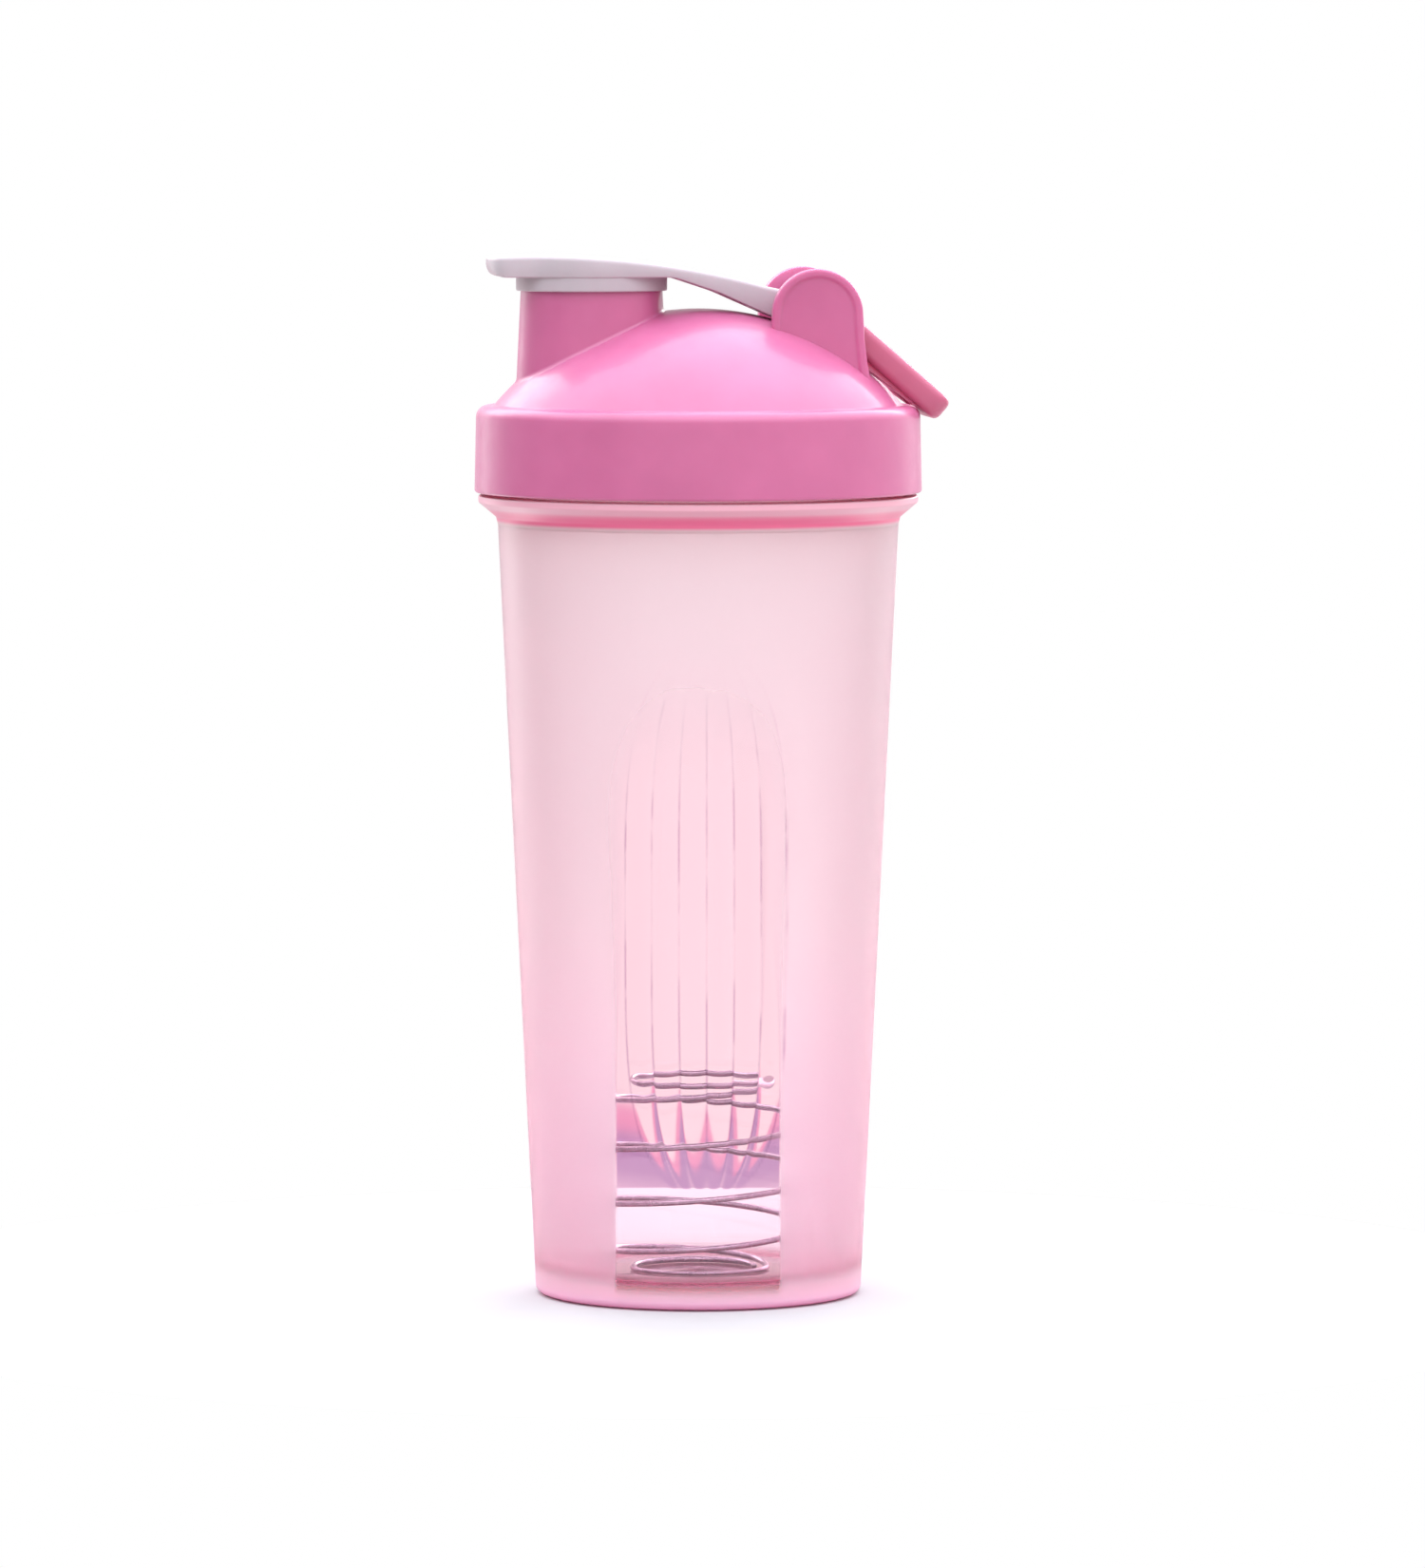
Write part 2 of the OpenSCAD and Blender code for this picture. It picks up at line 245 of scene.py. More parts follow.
def lathe(section, angles, bulge=None):
    """Turns an open section (r, z) that starts and ends on the axis, or a closed one that doesn't touch it.

    bulge(r, z, angle) adds to the radius.
    """
    verts = []
    rings = []
    for r, z in section:
        if r < 1e-6:
            rings.append([len(verts)] * len(angles))
            verts.append((0, 0, z))
            continue
        rings.append(list(range(len(verts), len(verts) + len(angles))))
        for a in angles:
            full = r + (bulge(r, z, a) if bulge else 0)
            verts.append((full * math.cos(a), full * math.sin(a), z))
    if section[0][0] > 1e-6:
        rings.append(rings[0])
    faces = []
    for low, high in zip(rings, rings[1:]):
        for i in range(len(angles)):
            j = (i + 1) % len(angles)
            face = []
            for v in (low[i], low[j], high[j], high[i]):
                if v not in face:
                    face.append(v)
            if len(face) > 2:
                faces.append(face)
    return verts, faces


def stack(rings, close=True):
    """Joins rings of equally many points, one after the other, and closes both ends."""
    sides = len(rings[0])
    verts = [p for ring in rings for p in ring]
    faces = []
    for k in range(len(rings) - 1):
        for i in range(sides):
            j = (i + 1) % sides
            faces.append((k * sides + i, k * sides + j, (k + 1) * sides + j, (k + 1) * sides + i))
    if close:
        faces.append(tuple(range(sides)))
        faces.append(tuple(len(verts) - 1 - i for i in range(sides)))
    return verts, faces


def inset(outline, distance):
    """A closed outline moved inwards along its own normals; the outline runs anticlockwise."""
    count = len(outline)
    moved = []
    for i, (x, y) in enumerate(outline):
        before = Vector(outline[i - 1])
        after = Vector(outline[(i + 1) % count])
        along = (after - before).normalized()
        moved.append((x - along.y * distance, y + along.x * distance))
    return moved


def mitred(outline, distance):
    """A closed outline moved inwards so that each side stays parallel; the outline runs anticlockwise."""
    moved = []
    count = len(outline)
    for i, (x, y) in enumerate(outline):
        here = Vector((x, y))
        before = (here - Vector(outline[i - 1])).normalized()
        after = (Vector(outline[(i + 1) % count]) - here).normalized()
        first, second = Vector((-before.y, before.x)), Vector((-after.y, after.x))
        shift = (first + second) * (distance / (1 + first.dot(second)))
        moved.append((x + shift.x, y + shift.y))
    return moved


def circle(r, count, start=0.0):
    return [(r * math.cos(start + 2 * math.pi * i / count), r * math.sin(start + 2 * math.pi * i / count))
            for i in range(count)]


def boolean(piece, other, operation, keep=False):
    """Applies a boolean with another mesh, and removes the other unless it is kept."""
    cut = piece.modifiers.new("cut", "BOOLEAN")
    cut.operation = operation
    cut.solver = "MANIFOLD"
    cut.object = other
    apply_modifiers(piece)
    if not keep:
        bpy.data.objects.remove(other)


def apply_modifiers(piece):
    graph = bpy.context.evaluated_depsgraph_get()
    done = bpy.data.meshes.new_from_object(piece.evaluated_get(graph))
    piece.modifiers.clear()
    old = piece.data
    piece.data = done
    bpy.data.meshes.remove(old)


# ---------------------------------------------------------------- cup

def window_edge(s, z):
    """How far a point on the cup's front is inside the clear window: positive inside, in millimetres."""
    arch_low = WINDOW_TOP_Z - WINDOW_ARCH
    if z < arch_low:
        return WINDOW_HALF - abs(s)
    reach = math.hypot(s / WINDOW_HALF, (z - arch_low) / WINDOW_ARCH)
    return (1 - reach) * WINDOW_HALF


def wrapped(angle):
    """The same angle between -pi and pi."""
    return (angle + math.pi) % (2 * math.pi) - math.pi


def flute(s, z):
    """The window's flutes: outward relief, and the share of a painted shade line on each cusp. Cusps close
    like an oval's meridians.
    """
    middle = (FLUTE_LOW_Z + FLUTE_HIGH_Z) / 2
    half = (FLUTE_HIGH_Z - FLUTE_LOW_Z) / 2
    along = (z - middle) / half
    if abs(along) >= 1:
        return 0.0, 0.0
    spread = (1 - along ** 4) ** 0.5
    if spread < 0.08:
        return 0.0, 0.0
    t = (s - FLUTE_SHIFT) / (FLUTE_PITCH * spread)
    if abs(t) > 3.1:
        return 0.0, 0.0
    phase = t - math.floor(t)
    rib = math.sin(math.pi * phase)
    edge = smoothstep((3 - abs(t)) / 1.1)
    high = smoothstep((FLUTE_HIGH_Z - z) / 40)
    apart = min(phase, 1 - phase) * FLUTE_PITCH * spread
    # Painted shade: a dark line along each cusp, fading out low and high on the window.
    line = smoothstep((FLUTE_SHADE_LINE - apart) / FLUTE_SHADE_LINE) * smoothstep((z - FLUTE_LOW_Z) / 16) * high
    return FLUTE_DEPTH * rib * edge * smoothstep((z - FLUTE_LOW_Z) / 40) * high, line


def cup_section():
    """Closed half section of the cup, from the recess under its foot up the outside and down the inside."""
    inner_floor = BASE_R - CUP_WALL + TAPER * FLOOR_Z
    inner_top = BASE_R - CUP_WALL + TAPER * RIM_Z
    outer = fillet([
        (0, RECESS_Z, 0), (BASE_R - 6.4, RECESS_Z, 1.2), (BASE_R - 4.6, 0, 0.7), (BASE_R, 0, 1.6),
        (SHOULDER_R, SHOULDER_Z, 0.6), (42.4, 163.3, 0.5), (FLANGE_R, 166.4, 0.5),
        (FLANGE_R, FLANGE_TOP_Z, 0.4), (NECK_R, FLANGE_TOP_Z, 0.4), (NECK_R, RIM_Z, 0.7),
        (inner_top, RIM_Z, 0.7), (inner_floor, FLOOR_Z, 3.0), (0, FLOOR_Z, 0)])
    return finer(outer, 1.0)


def make_cup():
    """The cup, with finer steps round its window and marks on its points for the clear parts and for the
    painted shade on the cusps.
    """
    span = math.radians(56)
    fine = 400
    coarse = 320
    angles = [WINDOW_TURN - span / 2 + span * i / fine for i in range(fine)]
    angles += [WINDOW_TURN + span / 2 + (2 * math.pi - span) * i / coarse for i in range(coarse)]
    top = SHOULDER_Z - 4

    def bulge(r, z, a):
        if not 2 < z < top or r < BASE_R + TAPER * z - 0.3:
            return 0.0
        return flute(wrapped(a - WINDOW_TURN) * r, z)[0]

    verts, faces = lathe(cup_section(), angles, bulge)
    cup = new_piece("cup_shell", verts, faces, "cup", sharp=50)
    clear = cup.data.attributes.new("clear", "FLOAT", "POINT")
    cusp = cup.data.attributes.new("cusp", "FLOAT", "POINT")
    for v, value, mark in zip(cup.data.vertices, clear.data, cusp.data):
        x, y, z = (c / MM for c in v.co)
        r = math.hypot(x, y)
        side = math.atan2(y, x) - WINDOW_TURN
        blur = 0.9 + 9.0 * smoothstep((z - 45) / 60)
        front = 0.5 + window_edge(wrapped(side) * r, z) / blur
        back = 0.5 + (window_edge(wrapped(side + math.pi) * r, z) + 3.0) / blur
        low = smoothstep((z - 1.8) / 4.5) if r > 31 else 0.0
        high = 1 - smoothstep((z - 96) / 50)
        polished = max(0.0, min(1.0, max(front, back))) * low * high
        value.value = 0.9 if r < 31 and z > 4 else polished
        # Each point outside the wall gets the share of the painted shade line on its flute cusp.
        outside = 2 < z < top and r > BASE_R + TAPER * z - 0.3
        mark.value = flute(wrapped(side) * r, z)[1] if outside else 0.0
    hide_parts("bottle_cup")
    return cup


# ---------------------------------------------------------------- lid

def dome_height(x, y):
    """Height of the dome's outer surface above a point."""
    return DOME_Z + math.sqrt(DOME_R ** 2 - x * x - y * y)


def lid_section():
    """Closed half section of the lid's shell, from the crest down the outside and back up the inside."""
    foot_r = math.sqrt(DOME_R ** 2 - (LEDGE_Z - DOME_Z) ** 2)
    dome_out = []
    for k in range(60):
        a = math.asin(foot_r / DOME_R) * k / 59
        dome_out.append((DOME_R * math.sin(a), DOME_Z + DOME_R * math.cos(a)))
    rim = fillet([
        (foot_r - 1.2, dome_height(foot_r - 1.2, 0), 0), (foot_r, LEDGE_Z, 0.9),
        (COLLAR_TOP_R, LEDGE_Z, COLLAR_ROUND),
        (COLLAR_R, COLLAR_LOW_Z, 0.6), (COLLAR_IN_R, COLLAR_LOW_Z, 0.5), (COLLAR_IN_R, CEILING_Z, 0.5),
        (SKIRT_R, CEILING_Z, 0.3), (SKIRT_R, SKIRT_LOW_Z, 0.5), (SKIRT_IN_R, SKIRT_LOW_Z, 0.5),
        (SKIRT_IN_R, 187.0, 0)])
    inner_r = DOME_R - DOME_WALL
    dome_in = []
    for k in range(60):
        a = math.asin(SKIRT_IN_R / inner_r) * (59 - k) / 59
        dome_in.append((inner_r * math.sin(a), DOME_Z + inner_r * math.cos(a)))
    kept = [p for p in dome_out if p[0] < rim[0][0] - 0.2]
    return kept + finer(rim, 2.0)[:-1] + dome_in


def spout_outside(count=160):
    """Rings of the spout's outside, with a rounded rim and a fillet that meets the dome all round."""
    rings = []
    rows = 14
    top = [(SPOUT_BORE_R, SPOUT_TOP_Z - 9), (SPOUT_BORE_R, SPOUT_TOP_Z - 0.5)]
    top += [(SPOUT_BORE_R + 0.5 - 0.5 * math.cos(math.radians(15 * k)),
             SPOUT_TOP_Z - 0.5 + 0.5 * math.sin(math.radians(15 * k))) for k in range(1, 7)]
    top += [(SPOUT_TOP_R - 0.6 + 0.6 * math.sin(math.radians(15 * k)),
             SPOUT_TOP_Z - 0.6 + 0.6 * math.cos(math.radians(15 * k))) for k in range(0, 7)]
    angles = [2 * math.pi * i / count for i in range(count)]
    for r, z in top:
        rings.append([(SPOUT_X + r * math.cos(a), r * math.sin(a), z) for a in angles])

    def wall_r(z):
        return SPOUT_TOP_R + SPOUT_DRAFT * (SPOUT_TOP_Z - z)

    feet = []
    for a in angles:
        z = SPOUT_TOP_Z
        for _ in range(30):
            r = wall_r(z)
            z = dome_height(SPOUT_X + r * math.cos(a), r * math.sin(a))
        feet.append(z)
    straight = 10
    for k in range(1, straight + 1):
        ring = []
        for a, foot in zip(angles, feet):
            low = foot + SPOUT_FILLET
            z = SPOUT_TOP_Z - 0.8 + (low - SPOUT_TOP_Z + 0.8) * k / straight
            r = wall_r(z)
            ring.append((SPOUT_X + r * math.cos(a), r * math.sin(a), z))
        rings.append(ring)
    for k in range(1, rows + 1):
        t = k / rows
        ring = []
        for a, foot in zip(angles, feet):
            start_r = wall_r(foot + SPOUT_FILLET)
            end_r = wall_r(foot) + SPOUT_FILLET * 0.8
            r = start_r + (end_r - start_r) * (1 - math.cos(t * math.pi / 2))
            x, y = SPOUT_X + r * math.cos(a), r * math.sin(a)
            surface = dome_height(x, y)
            lift = (1 - math.sin(t * math.pi / 2)) * SPOUT_FILLET
            ring.append((x, y, surface + lift - 0.03 * t))
        rings.append(ring)
    last = rings[-1]
    rings.append([(x * 0.985 + SPOUT_X * 0.015, y * 0.985, z - 0.9) for x, y, z in last])
    return rings


def lug_outline(count=64):
    """Outline of a hinge lug in the XZ plane, anticlockwise from its right foot to its left one."""
    points = [(HINGE_X + LUG_R + 3.1, 186.5), (HINGE_X + LUG_R + 1.8, 191.0), (HINGE_X + LUG_R + 0.9, 195.5),
              (HINGE_X + LUG_R + 0.3, 200.5)]
    arc = [(HINGE_X + LUG_R * math.cos(math.pi * k / count), HINGE_Z + LUG_R * math.sin(math.pi * k / count))
           for k in range(count + 1)]
    left = [(HINGE_X - LUG_R - 0.15, 202.5), (HINGE_X - LUG_R - 0.35, 197.0)]
    return points + arc + left


def make_lug(side):
    """One hinge lug: side is 1 or -1, and its outer face has a raised rim."""
    outline = lug_outline()
    layers = [(2.0, LUG_OUT_Y - LUG_WALL), (0.5, LUG_OUT_Y - LUG_WALL), (0.15, LUG_OUT_Y - LUG_WALL + 0.15),
              (0.0, LUG_OUT_Y - LUG_WALL + 0.5), (0.0, LUG_OUT_Y - 0.7), (0.06, LUG_OUT_Y - 0.4),
              (0.22, LUG_OUT_Y - 0.15), (0.5, LUG_OUT_Y - 0.02), (0.75, LUG_OUT_Y), (1.15, LUG_OUT_Y),
              (1.4, LUG_OUT_Y - 0.03), (1.65, LUG_OUT_Y - 0.18), (1.85, LUG_OUT_Y - 0.36),
              (2.1, LUG_OUT_Y - 0.47), (2.4, LUG_OUT_Y - 0.5)]
    rings = [[(x, side * y, z) for x, z in mitred(outline, d)] for d, y in layers]
    verts, faces = stack(rings, close=False)
    sides = len(outline)
    for first, y in ((0, layers[0][1]), (len(verts) - sides, layers[-1][1])):
        middle = len(verts)
        verts.append((HINGE_X, side * y, HINGE_Z - 4))
        faces += [(middle, first + i, first + (i + 1) % sides) for i in range(sides)]
    return new_piece("lug", verts, faces, None)


def cylinder(name, centre, axis, r, length, count=96):
    """A round cutter about a point, along Y or Z."""
    ends = (-length / 2, length / 2)
    if axis == "Z":
        rings = [[(centre[0] + x, centre[1] + y, centre[2] + e) for x, y in circle(r, count)] for e in ends]
    else:
        rings = [[(centre[0] + x, centre[1] + e, centre[2] + y) for x, y in circle(r, count)] for e in ends]
    verts, faces = stack(rings)
    return new_piece(name, verts, faces, None)


def ball(name, centre, r, rows=64, count=128):
    """A whole sphere, as a cutter."""
    section = [(r * math.sin(math.pi * k / rows), -r * math.cos(math.pi * k / rows)) for k in range(rows + 1)]
    section = [(max(0.0, a), b) for a, b in section]
    section[0] = (0.0, -r)
    section[-1] = (0.0, r)
    verts, faces = lathe(section, [2 * math.pi * i / count for i in range(count)])
    moved = [(x + centre[0], y + centre[1], z + centre[2]) for x, y, z in verts]
    return new_piece(name, moved, faces, None)


def thread(wall_r, depth, low_z, turns, lead, name):
    """A screw ridge that fades out at both ends, sunk a little into its wall."""
    steps = round(turns * 120)
    rings = []
    for i in range(steps + 1):
        a = 2 * math.pi * i / 120
        z = low_z + lead * i / 120
        h = min(1.0, (i + 0.5) / 14, (steps - i + 0.5) / 14)
        root, crest = 1.2 * (0.5 + 0.5 * h), 0.6 * (0.5 + 0.5 * h)
        sink = -0.4 if depth > 0 else 0.4
        profile = [(wall_r + sink, z - root), (wall_r + depth * h, z - crest),
                   (wall_r + depth * h, z + crest), (wall_r + sink, z + root)]
        rings.append([(r * math.cos(a), r * math.sin(a), w) for r, w in profile])
    verts, faces = stack(rings)
    return new_piece(name, verts, faces, None)


def make_lid():
    """The lid's shell with its spout, lugs, bore, pin sockets and thread."""
    steps = 256
    verts, faces = lathe(lid_section(), [2 * math.pi * (i + 0.5) / steps for i in range(steps)])
    lid = new_piece("lid_shell", verts, faces, "lid")
    under = ball("under", (0, 0, DOME_Z), DOME_R - DOME_WALL / 2)
    verts, faces = stack(spout_outside())
    for add in (new_piece("spout", verts, faces, None), make_lug(-1), make_lug(1)):
        boolean(add, under, "DIFFERENCE", keep=True)
        boolean(lid, add, "UNION")
    bpy.data.objects.remove(under)
    boolean(lid, cylinder("bore", (SPOUT_X, 0, 191), "Z", SPOUT_BORE_R - 0.02, 24, 160), "DIFFERENCE")
    boolean(lid, cylinder("sockets", (HINGE_X, 0, HINGE_Z), "Y", 1.52, 27), "DIFFERENCE")
    boolean(lid, thread(COLLAR_IN_R, -THREAD_DEPTH, LID_THREAD_Z, 1, THREAD_LEAD, "lid_thread"), "UNION")
    smooth(lid, 32)
    # Faces inside the collar are marked for a paler colour: painted light inside the lid.
    pale = lid.data.attributes.new("inside", "FLOAT", "POINT")
    for v, value in zip(lid.data.vertices, pale.data):
        x, y, z = (c / MM for c in v.co)
        inner = math.hypot(x, y) < COLLAR_IN_R + 0.1 and z < CEILING_Z + 0.1
        value.value = 1.0 if inner else 0.0
    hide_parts("screw_lid")
    return lid


# ---------------------------------------------------------------- flip cap

def smoothstep(t):
    """Rises smoothly from 0 to 1 as t does."""
    t = max(0.0, min(1.0, t))
    return t * t * (3 - 2 * t)


def soft_max(a, b, width):
    """The larger of two numbers, rounded where they are nearly equal."""
    return (a + b + math.sqrt((a - b) ** 2 + width * width)) / 2


def cap_half_width(x):
    """Half width of the lever in plan: thumb tab, disc over the spout, and the neck down to the hinge."""
    tab = TAB_HALF
    if x < TAB_X:
        tab *= max(0.0, 1 - ((TAB_X - x) / (TAB_X - TAB_TIP_X)) ** TAB_CURVE) ** (1 / TAB_CURVE)
    disc = math.sqrt(max(0.0, (CAP_SKIRT_R + 0.3) ** 2 - (x - SPOUT_X) ** 2))
    if x < SPOUT_X:
        return soft_max(tab, disc, 1.5 * min(1.0, (x - TAB_TIP_X) / 4)) if x < -30 else disc
    neck = BARREL_Y + NECK_FLARE * (1 - smoothstep((x - SPOUT_X) / (NAPE_X + 0.4 - SPOUT_X)))
    return max(disc, neck)


def cap_top(x):
    """Height of the lever's top: one long arc, then straight down to the barrel's round."""
    if x < NAPE_X:
        return LEVER_TOP_Z - LEVER_ARC_R + math.sqrt(LEVER_ARC_R ** 2 - (x - LEVER_TOP_X) ** 2)
    lean = math.radians(14)
    tangent = (HINGE_X + BARREL_R * math.sin(lean), HINGE_Z + BARREL_R * math.cos(lean))
    if x < tangent[0]:
        start = NAPE_X - 0.01
        return cap_top(start) + (tangent[1] - cap_top(start)) * (x - start) / (tangent[0] - start)
    return HINGE_Z + math.sqrt(max(0.0, BARREL_R ** 2 - (x - HINGE_X) ** 2))


CAP_LOWER = fillet([(-60, CAP_PLATE_LOW_Z, 0), (NAPE_X - 19.8, CAP_PLATE_LOW_Z, 9),
                    (NAPE_X - 10.2, NAPE_LOW_Z + 4.5, 12), (NAPE_X, NAPE_LOW_Z - 0.05, 10),
                    (HINGE_X - 1.2, HINGE_Z - BARREL_R + 0.25, 0)])


def cap_low(x):
    """Height of the lever's underside."""
    corner = 3.2
    if x < TAB_TIP_X + corner:
        return CAP_PLATE_LOW_Z + corner - math.sqrt(max(0.0, corner ** 2 - (TAB_TIP_X + corner - x) ** 2))
    if x >= HINGE_X - 1.2:
        return HINGE_Z - math.sqrt(max(0.0, BARREL_R ** 2 - (x - HINGE_X) ** 2))
    for (x0, z0), (x1, z1) in zip(CAP_LOWER, CAP_LOWER[1:]):
        if x0 <= x <= x1:
            return z0 + (z1 - z0) * (x - x0) / (x1 - x0)
    return CAP_PLATE_LOW_Z


def cap_inside(x):
    """Height of the lever's inner ceiling: hollow over the spout and along the neck, solid at both ends."""
    hollow = cap_top(x) - 2.0
    solid = 1 - smoothstep((x + 39.5) / 2.0) + smoothstep((x - NAPE_X + 6.3) / 4.0)
    return hollow + (cap_low(x) + 0.05 - hollow) * min(1.0, solid)


def make_cap():
    """The lever with its skirt, boss and hinge barrel."""
    end_x = HINGE_X + BARREL_R
    xs = [TAB_TIP_X + (end_x - TAB_TIP_X) * (1 - math.cos(math.pi * k / 140)) / 2 for k in range(141)]
    near = [(x, -max(0.3, cap_half_width(x))) for x in xs]
    far = [(x, -y) for x, y in reversed(near)]
    outline = near + far
    count = len(near)
    layers = [(1.3, "top", 0), (0.7, "top", 0.05), (0.3, "top", 0.2), (0.08, "top", 0.5), (0, "top", 0.9),
              (0, "mid", 0), (0, "low", 0.5), (0.1, "low", 0.18), (0.35, "low", 0), (1.5, "low", 0),
              (1.75, "low", 0.1), (1.9, "low", 0.4), (2.0, "in", 0.7), (2.3, "in", 0.25), (3.0, "in", 0)]
    rings = []
    for distance, kind, drop in layers:
        ring = []
        for x, y in inset_x(outline, distance):
            top, low = cap_top(x), cap_low(x)
            room = max(0.05, top - low)
            drop_here = min(drop, room * 0.35)
            z = {"top": top - drop_here, "low": low + drop_here, "mid": (top + low) / 2,
                 "in": max(low, cap_inside(x) - drop_here)}[kind]
            ring.append((x, y, z))
        rings.append(ring)
    verts, faces = stack(rings, close=False)
    for first in (0, (len(rings) - 1) * 2 * count):
        for k in range(count - 1):
            faces.append((first + k, first + k + 1, first + 2 * count - 2 - k, first + 2 * count - 1 - k))
    cap = new_piece("flip_cap_shell", verts, faces, "cap")
    skirt_top = CAP_PLATE_LOW_Z + 0.4
    skirt = fillet([(CAP_SKIRT_R - 0.65, skirt_top, 0), (CAP_SKIRT_R - 0.65, CAP_LOW_SKIRT_Z, 0.25),
                    (CAP_SKIRT_R, CAP_LOW_SKIRT_Z, 0.3), (CAP_SKIRT_R, skirt_top, 0)])
    verts, faces = lathe(skirt, [2 * math.pi * i / 160 for i in range(160)])
    ring = new_piece("skirt", [(x + SPOUT_X, y, z) for x, y, z in verts], faces, None)
    boolean(cap, ring, "UNION")
    boolean(cap, cylinder("boss", (SPOUT_X, 0, BOSS_Z), "Z", BOSS_R, BOSS_HIGH, 64), "UNION")
    boolean(cap, cylinder("barrel_bore", (HINGE_X, 0, HINGE_Z), "Y", PIN_BORE_R, 30, 48), "DIFFERENCE")
    smooth(cap, 35)
    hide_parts("flip_cap")
    return cap


def inset_x(outline, distance):
    """Insets an outline that is symmetric in y, and keeps mirrored points at the same x."""
    moved = inset(outline, distance) if distance else list(outline)
    half = len(moved) // 2
    kept = []
    for k in range(half):
        x, y = moved[k]
        kept.append((min(max(x, outline[0][0] + distance), outline[half - 1][0] - distance), min(y, -0.2)))
    return kept + [(x, -y) for x, y in reversed(kept)]


# ---------------------------------------------------------------- carry loop

def loop_span(u):
    """Lowest and highest point of the loop's side view at a distance u from the hinge."""
    top, low = LOOP_LIFT + LOOP_THICK / 2, LOOP_LIFT - LOOP_THICK / 2
    if u >= 6:
        return low, top
    eye = math.sqrt(max(0.0, BARREL_R ** 2 - u * u))
    if u <= 0:
        return -eye, eye
    t = smoothstep(u / 6)
    return -BARREL_R + (low + BARREL_R) * t, BARREL_R + (top - BARREL_R) * t


def make_loop():
    """The U-shaped finger loop between the lugs, turned to the angle it hangs at."""
    corner = 3.4
    outer = fillet([(-BARREL_R, ARM_OUT_Y, 0), (LOOP_REACH, ARM_OUT_Y, corner),
                    (LOOP_REACH, -ARM_OUT_Y, corner), (-BARREL_R, -ARM_OUT_Y, 0)])
    inner = fillet([(-BARREL_R, -ARM_IN_Y, 0), (LOOP_REACH - LOOP_BAR, -ARM_IN_Y, 1.6),
                    (LOOP_REACH - LOOP_BAR, ARM_IN_Y, 1.6), (-BARREL_R, ARM_IN_Y, 0)])
    outline = list(reversed(finer(outer, 0.8) + finer(inner, 0.8)))
    edge = [(1.6, 0), (1.1, 0.06), (0.65, 0.25), (0.3, 0.6), (0.08, 1.05), (0, 1.6)]
    rings = []
    for distance, lift in edge:
        rings.append([(x, y, loop_span(x)[0], lift) for x, y in inset(outline, distance)])
    for distance, lift in reversed(edge):
        rings.append([(x, y, loop_span(x)[1], -lift) for x, y in inset(outline, distance)])
    solid = []
    for ring in rings:
        layer = []
        for x, y, v, lift in ring:
            low, top = loop_span(x)
            layer.append((x, y, v + math.copysign(min(abs(lift), (top - low) * 0.4), lift)))
        solid.append(layer)
    verts, faces = stack(solid, close=False)
    flat = [Vector((x, y, 0)) for x, y in outline]
    last = len(verts) - len(outline)
    for a, b, c in tessellate_polygon([flat]):
        faces += [(a, b, c), (last + c, last + b, last + a)]
    turned = []
    for u, y, v in verts:
        turned.append((HINGE_X + u * math.cos(LOOP_ANGLE) + v * math.sin(LOOP_ANGLE), y,
                       HINGE_Z - u * math.sin(LOOP_ANGLE) + v * math.cos(LOOP_ANGLE)))
    loop = new_piece("carry_loop_ring", turned, faces, "loop")
    boolean(loop, cylinder("eyes", (HINGE_X, 0, HINGE_Z), "Y", PIN_BORE_R, 40, 48), "DIFFERENCE")
    smooth(loop, 35)
    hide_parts("carry_loop")
    return loop


# ---------------------------------------------------------------- whisk ball

def coil_point(turn):
    """A point of the wire's centre line: a ring, turns over a sphere, and a ring whose end tucks in."""
    lat = min(RING_LAT, max(-RING_LAT, -RING_LAT + 2 * RING_LAT * (turn - 1) / BALL_TURNS))
    tuck = RING_TUCK * max(0.0, 1 - turn, turn - 1 - BALL_TURNS) ** 2
    r = BALL_R * math.cos(lat) - tuck
    a = 2 * math.pi * turn
    return Vector((r * math.cos(a), r * math.sin(a), BALL_Z + BALL_R * math.sin(lat)))


def make_whisk():
    """The ball: round wire swept along its coil, with rounded ends."""
    sides, per_turn = 14, 90
    last = per_turn * (BALL_TURNS + 2)
    rings = []
    for i in range(last + 1):
        turn = i / per_turn
        here = (coil_point(turn - 0.004) + coil_point(turn) + coil_point(turn + 0.004)) / 3
        along = (coil_point(turn + 0.01) - coil_point(turn - 0.01)).normalized()
        out = Vector((math.cos(2 * math.pi * turn), math.sin(2 * math.pi * turn), 0))
        u = along.cross(out).normalized()
        v = u.cross(along)
        rings.append((here, along, u, v, 1.0))
    caps = [(0.95, 0.3), (0.8, 0.6), (0.5, 0.87)]
    start = [(rings[0][0] - rings[0][1] * WIRE_R * b, *rings[0][1:4], a) for a, b in reversed(caps)]
    end = [(rings[-1][0] + rings[-1][1] * WIRE_R * b, *rings[-1][1:4], a) for a, b in caps]
    solid = []
    for here, _, u, v, size in start + rings + end:
        solid.append([here + WIRE_R * size * (u * math.cos(2 * math.pi * j / sides)
                                              + v * math.sin(2 * math.pi * j / sides)) for j in range(sides)])
    verts, faces = stack(solid)
    whisk = new_piece("whisk_coil", verts, faces, "whisk", sharp=60)
    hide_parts("whisk_ball")
    return whisk


# ---------------------------------------------------------------- camera and studio

